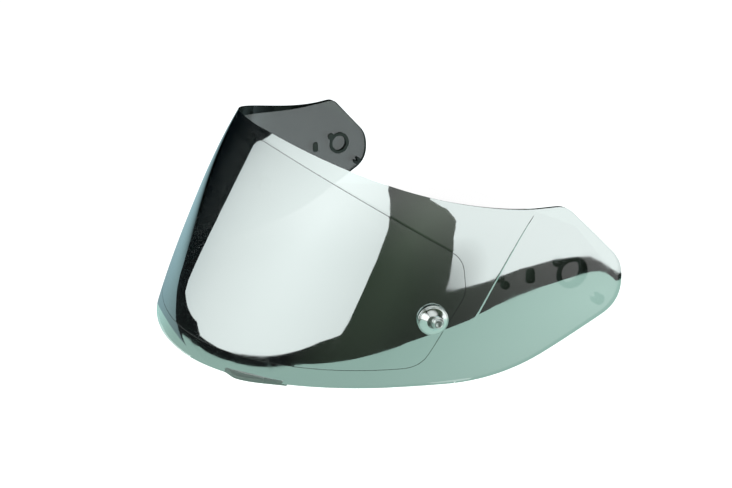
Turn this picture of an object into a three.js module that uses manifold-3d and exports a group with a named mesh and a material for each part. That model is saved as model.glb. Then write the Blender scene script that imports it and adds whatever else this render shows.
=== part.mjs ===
// Motorcycle helmet visor: a moulded, mirror-coated shield with a clear anti-fog insert behind it,
// a silicone bead between the two, and on each side a metal tear-off post, its washer, and the
// eccentric pin and screw that hold the end of the insert. Millimetres, Z up, Y to the rear,
// X to the wearer's left. Places are measured from the line through the two side pivots.
import * as THREE from 'three';
import { mergeVertices } from 'three/addons/utils/BufferGeometryUtils.js';
import Module from 'manifold-3d';

const wasm = await Module();
wasm.setup();

// Curved outer surface
const faceRadius = 108; // plan radius across the face
const faceHalfAngle = THREE.MathUtils.degToRad(67); // half of the arc across the face
const wingRadius = 310; // plan radius of the side wings
const faceReach = 123.5; // pivot line to the front of the face at mid height
const rakeAngle = THREE.MathUtils.degToRad(30); // the face leans back by this much
const midHeight = 5; // mid height of the face above the pivots
const rollSpan = 50; // height over which the top and the chin roll back
const topRoll = 6.2;
const chinRoll = 2.7;
const rollPower = 2.5;
const sideRelief = 5.2; // the rake is eased by this much over rollSpan at reliefWidth from the middle
const reliefWidth = 100;
const wingMargin = 22; // surface made past the wing tip, before the outline trims it

// Walls and clearances
const wall = 2.2;
const recessDepth = 0.9; // pocket for the insert on the inside of the shield
const touchGap = 0.3; // gap between pieces that bear on each other
const cutOverrun = 1; // how far a cutting solid runs past what it cuts
const smallEdge = 0.3; // edge break on turned metal parts

// Outline of the shield in side view: distance behind the pivot, height above it
const lowerEdge = -42; // the edge it stands on
const topFront = { back: -91.5, up: 51 };
const topFrontPull = { back: -72, up: 40.4 };
const topRearPull = { back: -40, up: 29.6 };
const topRear = { back: -15, up: 28.6 };
const wingTop = { back: -2.7, up: 28.6, radius: 9 };
const wingTipTop = { back: 22.8, up: 1, radius: 14 };
const wingTipLow = { back: 22.8, up: -17.5, radius: 9 };
const wingRoot = { back: -31.7, radius: 93 }; // on the lower edge
const rearFoot = 1.4; // level rear length that it rests on, ahead of the wing root
const footFront = -143; // the edge is lifted a little between the rear foot and the chin
const edgeLift = 1.2;
const chinMargin = 51.5; // the outline passes this far ahead of the face at mid height

// Crease across each wing, behind which the wall steps in
const creaseTop = { back: -19.8, up: 20.6 };
const creaseFoot = { back: -46.5, up: -23.4 };
const creaseStep = 0.6;
const creaseBlend = 3.5;
const creaseFade = 14; // the step dies out over this length at both ends

// Pocket for the insert, in side view
const pocketTopEdge = 3.5; // below the shield's top edge, at the middle of the face
const pocketRearTop = { back: -44.8, up: 11.2, radius: 10 };
const pocketRearLow = { back: -44.8, up: -3.5, radius: 12 };
const pocketFoot = { back: -65, up: -33.2, radius: 13 };
const pocketPlay = 0.8; // insert edge to pocket edge

// Insert and its bead
const insertThickness = 1.2;
const beadThickness = 0.5;
const beadWidth = 2;
const beadInset = 2.2; // insert edge to bead
const beadCornerRadius = 9;

// Tear-off posts and the pins that hold the insert
const postPlace = { back: -58.7, up: -12.9 };
const postOffset = 1.5; // stem to the rear of the middle of its disc
const discRadius = 6.3;
const discRim = 0.9;
const coneFootRadius = 5.6;
const coneTopRadius = 2.9;
const coneHeight = 2;
const collarRadius = 2.6;
const collarHeight = 1.4;
const stemRadius = 1.9;
const stemHeight = 1.5;
const socketRadius = 1.2;
const socketDepth = 1.8;
const washerThickness = 0.6;
const washerRadius = 5.4;
const hubRadius = 2.7;
const pinFlangeRadius = 4.2;
const pinGrooveRadius = 2.2;
const pinOffset = 0.7; // groove off the turning axis, so that turning the pin tightens the insert
const pinHeadRadius = 4.6;
const pinHead = 1.2;
const screwRadius = 0.7;
const screwHeadRadius = 1.6;
const screwHead = 0.7;
const screwReach = 2.4; // into the post
const slotLength = 16; // slots in the insert run out past its end
const screwSlotWidth = 0.5;
const screwSlotDepth = 0.4;

// Lugs inside each wing
const ringRadius = 7;
const ringBore = 4.8;
const ringReach = 3.6; // every reach is measured inward from the wall at the middle of the lug
const ringEar = { back: -6.2, up: 5.6, radius: 2.2, reach: 2.6 };
const stopLug = { back: -18.2, up: 0.5, width: 3.8, height: 6.6, radius: 1.4, reach: 3 };
const snapLugs = [
  { back: -30.2, up: 0.4, radius: 1.8, reach: 2 },
  { back: -28, up: -1.9, radius: 1.8, reach: 2.6 },
];
const guidePeg = { back: 12.9, up: -14.6, radius: 2.7, reach: 4.5 };
const guidePegCut = { from: THREE.MathUtils.degToRad(155), to: THREE.MathUtils.degToRad(465) };
const lugStockDepth = 9; // the lugs are cut from a slab this deep inside the wall

// Finger tab on the lower edge, ahead of the wearer's left post
const tabStart = THREE.MathUtils.degToRad(28); // round the face from its middle
const tabEnd = THREE.MathUtils.degToRad(47);
const tabRise = THREE.MathUtils.degToRad(5);
const tabReach = 4.2;
const tabHeight = 2.4;
const tabClear = 0.5; // above the standing edge
const tabRoot = 1.2; // into the wall

// Mesh fineness
const columns = 64;
const rows = 12;
const insertColumns = 52;
const insertRows = 8;
const turnSides = 28;
const hexSides = 6;
const curveSides = 10;
const tabSteps = 12;
const halvings = 40; // steps of a search for a place on the surface
const rearStep = 1; // step over the surface that finds the way to the rear

const arcLength = faceRadius * faceHalfAngle;
const outlineFront = -faceReach - chinMargin;
const lowerCut = lowerEdge - cutOverrun;
const upperCut = topFront.up + cutOverrun;

// Depths inside the outer surface, from the pocket's floor inward
const pocketFloor = wall - recessDepth;
const beadOuter = pocketFloor + touchGap;
const beadInner = beadOuter + beadThickness;
const insertOuter = beadInner + touchGap;
const insertInner = insertOuter + insertThickness;

// A point of the shield and the outward direction there. along runs over the surface from the
// middle of the face to the wearer's left, and depth is how far inside the outer surface it lies.
function surface(along, up, depth) {
  const run = Math.abs(along);
  const onFace = Math.min(run, arcLength);
  const faceTurn = onFace / faceRadius;
  const turn = faceTurn + (run - onFace) / wingRadius;
  const x = faceRadius * Math.sin(faceTurn) + wingRadius * (Math.sin(turn) - Math.sin(faceTurn));
  const y = faceRadius * (1 - Math.cos(faceTurn)) + wingRadius * (Math.cos(faceTurn) - Math.cos(turn));
  const level = (up - midHeight) / rollSpan;
  const roll = level > 0 ? topRoll : chinRoll;
  const easing = sideRelief * (x / reliefWidth) ** 2;
  const lean = Math.tan(rakeAngle) * (up - midHeight) + roll * Math.abs(level) ** rollPower;
  const back = y - faceReach + lean - easing * level;
  const rollSlope = roll * rollPower * Math.abs(level) ** (rollPower - 1) * Math.sign(level);
  const leanSlope = Math.tan(rakeAngle) + (rollSlope - easing) / rollSpan;
  const easingSlope = 2 * sideRelief * level * x / reliefWidth ** 2;
  const side = Math.sign(along);
  const normal = new THREE.Vector3(
    side * (Math.sin(turn) - easingSlope * Math.cos(turn)),
    -Math.cos(turn),
    Math.cos(turn) * leanSlope,
  ).normalize();
  const point = new THREE.Vector3(side * x, back, up);
  return { point: point.addScaledVector(normal, -depth - creaseDepth(back, up)), normal };
}

// How far the wall steps in at a place behind the crease
function creaseDepth(back, up) {
  const line = new THREE.Vector2(creaseTop.back - creaseFoot.back, creaseTop.up - creaseFoot.up);
  const length = line.length();
  line.normalize();
  const place = new THREE.Vector2(back - creaseFoot.back, up - creaseFoot.up);
  const behind = place.cross(line);
  const climb = place.dot(line);
  const fadeFoot = THREE.MathUtils.smoothstep(climb, -creaseFade, 0);
  const fadeTop = 1 - THREE.MathUtils.smoothstep(climb, length, length + creaseFade);
  return creaseStep * fadeFoot * fadeTop * THREE.MathUtils.smoothstep(behind, -creaseBlend, 0);
}

// How far along the surface of the wearer's left side a place lies, from its side view
function alongAt({ back, up }) {
  let near = 0;
  let far = arcLength + faceReach + wingTipTop.back + wingMargin;
  for (let step = 0; step < halvings; step += 1) {
    const middle = (near + far) / 2;
    if (surface(middle, up, 0).point.y < back) near = middle;
    else far = middle;
  }
  return near;
}

// The surface is made to surfaceHalf each way, and cutting solids reach halfSpace to each side
const surfaceHalf = alongAt({ back: wingTipTop.back + wingMargin, up: midHeight });
const halfSpace = faceRadius + faceReach;

// Closed geometry to solid, and back
function solid(geometry) {
  const bare = geometry.clone();
  bare.deleteAttribute('normal');
  bare.deleteAttribute('uv');
  const merged = mergeVertices(bare);
  return new wasm.Manifold(new wasm.Mesh({
    numProp: 3,
    vertProperties: new Float32Array(merged.attributes.position.array),
    triVerts: new Uint32Array(merged.index.array),
  }));
}

function geometryOf(body) {
  const mesh = body.getMesh();
  const geometry = new THREE.BufferGeometry();
  geometry.setAttribute('position', new THREE.BufferAttribute(mesh.vertProperties, 3));
  geometry.setIndex(new THREE.BufferAttribute(mesh.triVerts, 1));
  geometry.computeVertexNormals();
  return geometry;
}

// Curved slab between two depths, each given as a function of the place along the surface
function slab(outerAt, innerAt, across, down, span = wholeSpan) {
  const positions = [];
  for (const depthAt of [outerAt, innerAt]) {
    for (let j = 0; j <= down; j += 1) {
      const up = THREE.MathUtils.lerp(span.low, span.high, j / down);
      for (let i = 0; i <= across; i += 1) {
        const along = THREE.MathUtils.lerp(span.from, span.to, i / across);
        positions.push(...surface(along, up, depthAt(along)).point.toArray());
      }
    }
  }
  const index = [];
  const node = (i, j, k) => (k * (down + 1) + j) * (across + 1) + i;
  const quad = (a, b, c, d) => index.push(a, b, c, a, c, d);
  for (let j = 0; j < down; j += 1) {
    for (let i = 0; i < across; i += 1) {
      quad(node(i, j, 0), node(i + 1, j, 0), node(i + 1, j + 1, 0), node(i, j + 1, 0));
      quad(node(i, j, 1), node(i, j + 1, 1), node(i + 1, j + 1, 1), node(i + 1, j, 1));
    }
    quad(node(0, j, 1), node(0, j, 0), node(0, j + 1, 0), node(0, j + 1, 1));
    quad(node(across, j, 0), node(across, j, 1), node(across, j + 1, 1), node(across, j + 1, 0));
  }
  for (let i = 0; i < across; i += 1) {
    quad(node(i, 0, 1), node(i + 1, 0, 1), node(i + 1, 0, 0), node(i, 0, 0));
    quad(node(i, down, 0), node(i + 1, down, 0), node(i + 1, down, 1), node(i, down, 1));
  }
  const geometry = new THREE.BufferGeometry();
  geometry.setAttribute('position', new THREE.Float32BufferAttribute(positions, 3));
  geometry.setIndex(index);
  return solid(geometry);
}

const wholeSpan = { from: -surfaceHalf, to: surfaceHalf, low: lowerCut, high: upperCut };
const at = (depth) => () => depth;

// Prism along X from a side view outline, between two distances from the middle
function sidePrism(shape, from, to) {
  const geometry = new THREE.ExtrudeGeometry(shape, {
    depth: to - from,
    bevelEnabled: false,
    curveSegments: curveSides,
  });
  const turned = new THREE.Matrix4().makeBasis(
    new THREE.Vector3(0, 1, 0),
    new THREE.Vector3(0, 0, 1),
    new THREE.Vector3(1, 0, 0),
  );
  turned.setPosition(from, 0, 0);
  return solid(geometry.applyMatrix4(turned));
}

const throughPrism = (shape) => sidePrism(shape, -halfSpace, halfSpace);

// Curve round a corner between two straight runs of an outline; gives back where it ends
function roundCorner(shape, before, corner, after, radius) {
  const into = corner.clone().sub(before).normalize();
  const out = after.clone().sub(corner).normalize();
  const setBack = radius * Math.tan(into.angleTo(out) / 2);
  const first = corner.clone().addScaledVector(into, -setBack);
  const last = corner.clone().addScaledVector(out, setBack);
  shape.lineTo(first.x, first.y);
  shape.quadraticCurveTo(corner.x, corner.y, last.x, last.y);
  return last;
}

// Closed outline through corners taken counter-clockwise, with every side moved in by inset
function insetShape(corners, inset) {
  const count = corners.length;
  const lines = corners.map((corner, i) => {
    const next = corners[(i + 1) % count];
    const run = new THREE.Vector2(next.back - corner.back, next.up - corner.up).normalize();
    const start = new THREE.Vector2(corner.back - run.y * inset, corner.up + run.x * inset);
    return { start, run };
  });
  const points = lines.map((after, i) => {
    const before = lines[(i + count - 1) % count];
    const gap = after.start.clone().sub(before.start);
    const reach = gap.cross(after.run) / before.run.cross(after.run);
    return before.start.clone().addScaledVector(before.run, reach);
  });
  const shape = new THREE.Shape();
  const first = points[count - 1].clone().lerp(points[0], 1 / 2);
  shape.moveTo(first.x, first.y);
  points.forEach((point, i) => {
    const before = points[(i + count - 1) % count];
    const after = points[(i + 1) % count];
    const radius = Math.max((corners[i].radius ?? 0) - inset, 0);
    if (radius > 0) roundCorner(shape, before, point, after, radius);
    else shape.lineTo(point.x, point.y);
  });
  shape.closePath();
  return shape;
}

const flat = (place) => new THREE.Vector2(place.back, place.up);

// Shield: the curved wall, cut to its outline in side view
const tipTop = flat(wingTipTop);
const tipLow = flat(wingTipLow);
const root = new THREE.Vector2(wingRoot.back, lowerEdge);
const ahead = new THREE.Vector2(footFront, lowerEdge);
const outline = new THREE.Shape();
outline.moveTo(outlineFront, topFront.up);
outline.lineTo(topFront.back, topFront.up);
outline.bezierCurveTo(topFrontPull.back, topFrontPull.up, topRearPull.back, topRearPull.up,
  topRear.back, topRear.up);
roundCorner(outline, flat(topRear), flat(wingTop), tipTop, wingTop.radius);
roundCorner(outline, flat(wingTop), tipTop, tipLow, wingTipTop.radius);
roundCorner(outline, tipTop, tipLow, root, wingTipLow.radius);
const footRear = roundCorner(outline, tipLow, root, ahead, wingRoot.radius).x - rearFoot;
outline.lineTo(footRear, lowerEdge);
outline.quadraticCurveTo((footRear + footFront) / 2, lowerEdge + 2 * edgeLift, footFront, lowerEdge);
outline.lineTo(outlineFront, lowerEdge);
outline.closePath();
let shield = slab(at(0), at(wall), columns, rows).intersect(throughPrism(outline));

// Pocket that the insert lies in
const pocketTop = surface(0, topFront.up - pocketTopEdge, 0).point;
const pocketSlope = (pocketTop.z - pocketRearTop.up) / (pocketRearTop.back - pocketTop.y);
const pocketRise = (pocketRearTop.back - outlineFront) * pocketSlope;
const pocketCorners = [
  { back: outlineFront, up: pocketFoot.up },
  pocketFoot,
  pocketRearLow,
  pocketRearTop,
  { back: outlineFront, up: pocketRearTop.up + pocketRise },
];
const pocket = slab(at(pocketFloor), at(wall + cutOverrun), columns, rows)
  .intersect(throughPrism(insetShape(pocketCorners, 0)));
shield = shield.subtract(pocket);

// Lugs inside both wings, each started in the middle of the wall
const lugStock = slab(at(wall / 2), at(wall + lugStockDepth), columns, rows);
function addLug(shape, lug) {
  const wallInside = surface(alongAt(lug), lug.up, wall).point.x;
  const end = wallInside - lug.reach;
  for (const [from, to] of [[end, halfSpace], [-halfSpace, -end]]) {
    shield = shield.add(sidePrism(shape, from, to).intersect(lugStock));
  }
}

function discAt(place) {
  const shape = new THREE.Shape();
  shape.absarc(place.back, place.up, place.radius, 0, 2 * Math.PI);
  return shape;
}

const ringPlace = { back: 0, up: 0, radius: ringRadius, reach: ringReach };
const ring = discAt(ringPlace);
ring.holes.push(discAt({ ...ringPlace, radius: ringBore }));
const stopHalf = { across: stopLug.width / 2, up: stopLug.height / 2 };
const stopShape = insetShape([
  { back: stopLug.back - stopHalf.across, up: stopLug.up - stopHalf.up, radius: stopLug.radius },
  { back: stopLug.back + stopHalf.across, up: stopLug.up - stopHalf.up, radius: stopLug.radius },
  { back: stopLug.back + stopHalf.across, up: stopLug.up + stopHalf.up, radius: stopLug.radius },
  { back: stopLug.back - stopHalf.across, up: stopLug.up + stopHalf.up, radius: stopLug.radius },
], 0);
const pegShape = new THREE.Shape();
pegShape.moveTo(guidePeg.back, guidePeg.up);
pegShape.absarc(guidePeg.back, guidePeg.up, guidePeg.radius, guidePegCut.from, guidePegCut.to);
pegShape.closePath();
addLug(discAt(ringEar), ringEar);
addLug(ring, ringPlace);
addLug(stopShape, stopLug);
for (const lug of snapLugs) addLug(discAt(lug), lug);
addLug(pegShape, guidePeg);

// Finger tab: rises from the face quickly at its front end and dies out to the rear
function tabDepth(along) {
  const turn = along / faceRadius;
  const rise = THREE.MathUtils.smoothstep(turn, tabStart, tabStart + tabRise);
  const fall = 1 - THREE.MathUtils.smoothstep(turn, tabStart + tabRise, tabEnd);
  return -tabReach * rise * fall;
}
shield = shield.add(slab(tabDepth, at(tabRoot), tabSteps, 1, {
  from: faceRadius * tabStart,
  to: faceRadius * tabEnd,
  low: lowerEdge + tabClear,
  high: lowerEdge + tabClear + tabHeight,
}));

// Post frames: Z out of the surface along the post, X to the rear
const postAlong = alongAt(postPlace);
function postFrame(side) {
  const { point, normal } = surface(side * postAlong, postPlace.up, 0);
  const behind = surface(side * (postAlong + rearStep), postPlace.up, 0).point;
  const rear = behind.sub(point).projectOnPlane(normal).normalize();
  const across = normal.clone().cross(rear);
  return new THREE.Matrix4().makeBasis(rear, across, normal).setPosition(point);
}

// Turned about Z from a profile of radius and height pairs, moved to the rear by offset
function turnedGeometry(profile, offset = 0) {
  const points = profile.map(([radius, height]) => new THREE.Vector2(radius, height));
  const geometry = new THREE.LatheGeometry(points, turnSides);
  return geometry.rotateX(Math.PI / 2).translate(offset, 0, 0);
}

const turned = (profile, offset) => solid(turnedGeometry(profile, offset));

const barrelProfile = (radius, from, to) => [[0, from], [radius, from], [radius, to], [0, to]];
const barrel = (radius, from, to, offset) => turned(barrelProfile(radius, from, to), offset);

// Heights of the post's pieces above the outer surface, from the head of the pin outward
const pinFlangeTop = -beadOuter;
const pinFlangeFoot = -beadInner;
const pinGrooveFoot = -insertInner - touchGap;
const pinHeadFoot = pinGrooveFoot - pinHead;
const washerFoot = touchGap;
const washerTop = washerFoot + washerThickness;
const discFoot = washerTop + touchGap;
const discRimTop = discFoot + discRim;
const coneTop = discRimTop + coneHeight;
const collarTop = coneTop + collarHeight;
const stemTop = collarTop + stemHeight;
const screwTop = discFoot + screwReach;
const screwHeadTop = pinHeadFoot + screwHead;
const hubBore = hubRadius + touchGap;
const screwBore = screwRadius + touchGap;

function postButton() {
  const disc = turned([
    [0, discFoot],
    [discRadius - smallEdge, discFoot],
    [discRadius, discFoot + smallEdge],
    [discRadius, discRimTop - smallEdge],
    [discRadius - smallEdge, discRimTop],
    [coneFootRadius, discRimTop],
    [coneTopRadius, coneTop],
    [0, coneTop],
  ]);
  const stem = turned([
    [0, discRimTop],
    [collarRadius, discRimTop],
    [collarRadius, collarTop - smallEdge],
    [collarRadius - smallEdge, collarTop],
    [stemRadius, collarTop],
    [stemRadius, stemTop - smallEdge],
    [stemRadius - smallEdge, stemTop],
    [0, stemTop],
  ], postOffset);
  const socket = new THREE.CylinderGeometry(socketRadius, socketRadius, socketDepth * 2, hexSides);
  socket.rotateX(Math.PI / 2).translate(postOffset, 0, stemTop);
  return disc.add(stem)
    .subtract(solid(socket))
    .subtract(barrel(screwBore, discFoot - cutOverrun, screwTop + touchGap));
}

function postWasher() {
  return barrel(washerRadius, washerFoot, washerTop)
    .subtract(barrel(hubBore, washerFoot - cutOverrun, washerTop + cutOverrun));
}

function insertPin() {
  return turned([
    [0, pinFlangeFoot],
    [pinFlangeRadius, pinFlangeFoot],
    [pinFlangeRadius, pinFlangeTop],
    [hubRadius, pinFlangeTop],
    [hubRadius, washerTop],
    [0, washerTop],
  ])
    .add(barrel(
      pinGrooveRadius,
      pinGrooveFoot - pinHead / 2,
      pinFlangeFoot + beadThickness / 2,
      -pinOffset,
    ))
    .add(turned([
      [0, pinHeadFoot],
      [pinHeadRadius - smallEdge, pinHeadFoot],
      [pinHeadRadius, pinHeadFoot + smallEdge],
      [pinHeadRadius, pinGrooveFoot],
      [0, pinGrooveFoot],
    ]))
    .subtract(barrel(screwBore, pinHeadFoot - cutOverrun, washerTop + cutOverrun))
    .subtract(barrel(screwHeadRadius + touchGap, pinHeadFoot - cutOverrun, screwHeadTop + touchGap));
}

function pinScrew() {
  const slot = new THREE.BoxGeometry(
    (screwHeadRadius + cutOverrun) * 2,
    screwSlotWidth,
    screwSlotDepth * 2,
  ).translate(0, 0, pinHeadFoot);
  return turned([
    [0, pinHeadFoot],
    [screwHeadRadius, pinHeadFoot],
    [screwHeadRadius, screwHeadTop],
    [screwRadius, screwHeadTop],
    [screwRadius, screwTop],
    [0, screwTop],
  ]).subtract(solid(slot));
}

// Holes for the posts, and the slots in the ends of the insert that the pins' grooves fit
const slotRadius = pinGrooveRadius + pinOffset + touchGap;
function holeAt(frame) {
  const profile = barrelProfile(hubBore, -wall - cutOverrun, cutOverrun);
  return solid(turnedGeometry(profile).applyMatrix4(frame));
}

function slotAt(frame) {
  const shape = new THREE.Shape();
  shape.absarc(0, 0, slotRadius, Math.PI / 2, 3 * Math.PI / 2);
  shape.lineTo(slotLength, -slotRadius);
  shape.lineTo(slotLength, slotRadius);
  shape.closePath();
  const geometry = new THREE.ExtrudeGeometry(shape, {
    depth: insertInner - beadInner + touchGap + cutOverrun,
    bevelEnabled: false,
    curveSegments: curveSides,
  });
  geometry.translate(0, 0, -insertInner - cutOverrun);
  return solid(geometry.applyMatrix4(frame));
}

const frames = { left: postFrame(1), right: postFrame(-1) };
for (const frame of Object.values(frames)) shield = shield.subtract(holeAt(frame));

let insert = slab(at(insertOuter), at(insertInner), insertColumns, insertRows)
  .intersect(throughPrism(insetShape(pocketCorners, pocketPlay)));
for (const frame of Object.values(frames)) insert = insert.subtract(slotAt(frame));

// Bead: a closed loop round the insert that passes ahead of the pins
const beadMargin = pocketPlay + beadInset;
const beadRear = postPlace.back - pinFlangeRadius - touchGap * 2 + beadMargin;
const beadRearRise = (pocketRearTop.back - beadRear) * pocketSlope;
const beadCorners = [
  pocketCorners[0],
  { back: beadRear, up: pocketFoot.up, radius: beadCornerRadius },
  { back: beadRear, up: pocketRearTop.up + beadRearRise, radius: beadCornerRadius },
  pocketCorners[4],
];
const bead = slab(at(beadOuter), at(beadInner), insertColumns, insertRows)
  .intersect(throughPrism(insetShape(beadCorners, beadMargin)))
  .subtract(throughPrism(insetShape(beadCorners, beadMargin + beadWidth)));

// Materials
const smokeShield = new THREE.MeshStandardMaterial({ color: 0x8fa39d, roughness: 0.08, metalness: 0.7 });
const clearInsert = new THREE.MeshStandardMaterial({ color: 0x9fb0aa, roughness: 0.12, metalness: 0 });
const silicone = new THREE.MeshStandardMaterial({ color: 0x555a58, roughness: 0.6, metalness: 0 });
const chrome = new THREE.MeshStandardMaterial({ color: 0xc9d0cf, roughness: 0.15, metalness: 1 });
const darkRubber = new THREE.MeshStandardMaterial({ color: 0x1b1c1c, roughness: 0.8, metalness: 0 });
const blackPlastic = new THREE.MeshStandardMaterial({ color: 0x222424, roughness: 0.4, metalness: 0 });
const steel = new THREE.MeshStandardMaterial({ color: 0x9a9d9e, roughness: 0.3, metalness: 1 });

// The assembly, its origin in the middle of its underside
const visor = new THREE.Group();
const pieces = new THREE.Group();
visor.add(pieces);

function place(name, geometry, material, parent = pieces) {
  const mesh = new THREE.Mesh(geometry, material);
  mesh.name = name;
  parent.add(mesh);
}

place('shield', geometryOf(shield), smokeShield);
place('antifog_insert', geometryOf(insert), clearInsert);
place('insert_bead', geometryOf(bead), silicone);
for (const [side, frame] of Object.entries(frames)) {
  const post = new THREE.Group();
  post.applyMatrix4(frame);
  pieces.add(post);
  place(`${side}_post_button`, geometryOf(postButton()), chrome, post);
  place(`${side}_post_washer`, geometryOf(postWasher()), darkRubber, post);
  place(`${side}_insert_pin`, geometryOf(insertPin()), blackPlastic, post);
  place(`${side}_pin_screw`, geometryOf(pinScrew()), steel, post);
}
const box = new THREE.Box3().setFromObject(visor, true);
const middle = box.getCenter(new THREE.Vector3());
pieces.position.set(-middle.x, -middle.y, -box.min.z);

export default visor;
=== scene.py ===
# Motorcycle helmet visor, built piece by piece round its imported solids. Metres, Z up, X to the
# wearer's left, Y to the rear. The visor stands on its lower edge, as it does on a table.
import math
import bmesh
import bpy
import numpy as np
from mathutils import Matrix, Vector
from mathutils.geometry import interpolate_bezier


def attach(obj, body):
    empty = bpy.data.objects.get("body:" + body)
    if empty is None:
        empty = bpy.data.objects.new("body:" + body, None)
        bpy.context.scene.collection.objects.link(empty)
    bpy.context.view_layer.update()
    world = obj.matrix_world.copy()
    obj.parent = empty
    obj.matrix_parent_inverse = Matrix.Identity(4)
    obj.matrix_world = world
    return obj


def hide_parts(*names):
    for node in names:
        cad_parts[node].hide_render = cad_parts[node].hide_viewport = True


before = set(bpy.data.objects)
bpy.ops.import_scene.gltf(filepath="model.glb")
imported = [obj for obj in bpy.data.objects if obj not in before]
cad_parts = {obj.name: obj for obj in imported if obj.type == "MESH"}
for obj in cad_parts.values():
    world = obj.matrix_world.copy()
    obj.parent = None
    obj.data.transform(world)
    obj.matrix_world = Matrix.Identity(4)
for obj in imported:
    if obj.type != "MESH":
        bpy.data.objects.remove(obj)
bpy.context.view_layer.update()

# Camera. It looks down on the wearer's left side from a little ahead, with a slight tilt, from
# the place that the two wings' matching points give in the photograph.
camera_place = Vector((0.35606, -0.14671, 0.18977))
camera_ahead = Vector((-0.8278, 0.399, -0.3943)).normalized()
camera_level = Vector((0.4489, 0.8927, -0.039))
camera_right = (camera_level - camera_ahead * camera_level.dot(camera_ahead)).normalized()
camera_up = camera_right.cross(camera_ahead)
sensor_width, focal_length = 36, 40.33  # millimetres
camera_data = bpy.data.cameras.new("camera")
camera_data.sensor_width = sensor_width
camera_data.lens = focal_length
camera = bpy.data.objects.new("camera", camera_data)
camera_turn = Matrix((camera_right, camera_up, -camera_ahead)).transposed()
camera.matrix_world = Matrix.Translation(camera_place) @ camera_turn.to_4x4()
bpy.context.scene.collection.objects.link(camera)
bpy.context.scene.camera = camera
bpy.context.scene.view_settings.view_transform = "Standard"


# Studio. A white table, a wide soft light ahead in two panels, others at the wearer's left and
# overhead, and the table's own glow, in a room that is dim at the left and otherwise dark. The
# lights show in the visor's mirror film and its metal, but not to the camera.
white = (1.0, 1.0, 1.0)


def new_material(name):
    material = bpy.data.materials.new(name)
    material.use_nodes = True
    material.node_tree.nodes.clear()
    return material, material.node_tree


def add_node(tree, kind, inputs=(), **settings):
    """A shader node, whose inputs are numbers, colours or the outputs of other nodes."""
    node = tree.nodes.new("ShaderNode" + kind)
    for name, value in settings.items():
        setattr(node, name, value)
    for name, value in dict(inputs).items():
        if isinstance(value, bpy.types.NodeSocket):
            tree.links.new(value, node.inputs[name])
        else:
            node.inputs[name].default_value = value
    return node


def remap(tree, value, old, new, easing="LINEAR"):
    """A value carried over from one range to another."""
    return add_node(tree, "MapRange", {
        "Value": value, "From Min": old[0], "From Max": old[1], "To Min": new[0],
        "To Max": new[1]}, interpolation_type=easing).outputs["Result"]


def colour_between(tree, share, first, second):
    return add_node(tree, "Mix", {"Factor": share, "A": (*first, 1), "B": (*second, 1)},
                    data_type="RGBA").outputs["Result"]


def fall_off(tree, middle, reach):
    """A value that goes from 1 at a middle place down to 0 at its reach."""
    place = add_node(tree, "TexCoord").outputs["Object"]
    centred = add_node(tree, "Mapping", {"Vector": place, "Location": middle, "Scale": reach},
                       vector_type="TEXTURE").outputs["Vector"]
    return add_node(tree, "TexGradient", {"Vector": centred},
                    gradient_type="SPHERICAL").outputs["Fac"]


def surface(tree, kind, inputs):
    """The shader that a material ends in."""
    shader = add_node(tree, kind, inputs)
    add_node(tree, "OutputMaterial", {"Surface": shader.outputs[0]})


def finished(bm, name, materials):
    mesh = bpy.data.meshes.new(name)
    bm.to_mesh(mesh)
    bm.free()
    for material in materials:
        mesh.materials.append(material)
    piece = bpy.data.objects.new(name, mesh)
    bpy.context.scene.collection.objects.link(piece)
    return piece


def light_panel(name, corners, strength, middle, reach, edge_share, colour=white):
    """Its glow goes from full strength in the middle to a share of that at its reach."""
    material, tree = new_material(name)
    ball = fall_off(tree, middle, (reach, reach, reach))
    light = remap(tree, ball, (0, 1), (strength * edge_share, strength))
    surface(tree, "Emission", {"Color": (*colour, 1), "Strength": light})
    bm = bmesh.new()
    bm.faces.new([bm.verts.new(corner) for corner in corners])
    panel = finished(bm, name, [material])
    panel.visible_camera = False
    panel.visible_shadow = False


table_half = 6.0
bm = bmesh.new()
bmesh.ops.create_grid(bm, x_segments=1, y_segments=1, size=table_half)
paper, tree = new_material("table_paper")
surface(tree, "BsdfPrincipled", {"Base Color": (0.5, 0.5, 0.5, 1), "Roughness": 0.9,
                                 "Emission Color": (*white, 1), "Emission Strength": 1.0})
table = finished(bm, "table", [paper])
table.visible_glossy = False

front_far = -1.0  # the front light stands this far ahead
front_seam = [
    (0.93, 0.551), (0.905, 0.558), (0.373, 0.652), (-0.092, 0.725), (-0.523, 0.781),
    (-0.985, 0.831), (-1.313, 0.85), (-1.7, 0.862)]
front_low_edge = [
    (-1.759, 0.84), (-1.912, 0.805), (-1.929, 0.76), (-1.846, 0.71), (-1.666, 0.592),
    (-1.542, 0.484), (-1.438, 0.364), (-1.39, 0.254), (-1.381, 0.17), (-1.373, 0.096),
    (-1.353, 0.016), (-1.266, -0.01), (-1.111, 0.006), (-1.015, 0.014), (-0.776, 0.042),
    (-0.634, 0.059), (-0.499, 0.047), (-0.304, 0.062), (-0.141, 0.067), (0.063, 0.067),
    (0.288, 0.058), (0.545, 0.052), (0.728, 0.051), (0.964, 0.032), (1.014, 0.069), (1.054, 0.182),
    (1.074, 0.273), (1.041, 0.434), (0.954, 0.531)]
front_high_edge = [
    (-1.577, 0.917), (-0.9, 1.2), (0.3, 1.2), (0.6, 0.85), (0.719, 0.7), (0.831, 0.632)]
light_panel("front_light_low", [(x, front_far, z) for x, z in front_seam + front_low_edge],
            strength=1.51, middle=(0.15, front_far, 0.5), reach=2.4, edge_share=0.5)
light_panel("front_light_high",
            [(x, front_far, z) for x, z in reversed(front_high_edge + front_seam)],
            strength=1.53, middle=(0.15, front_far, 0.8), reach=2.4, edge_share=0.6)

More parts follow.
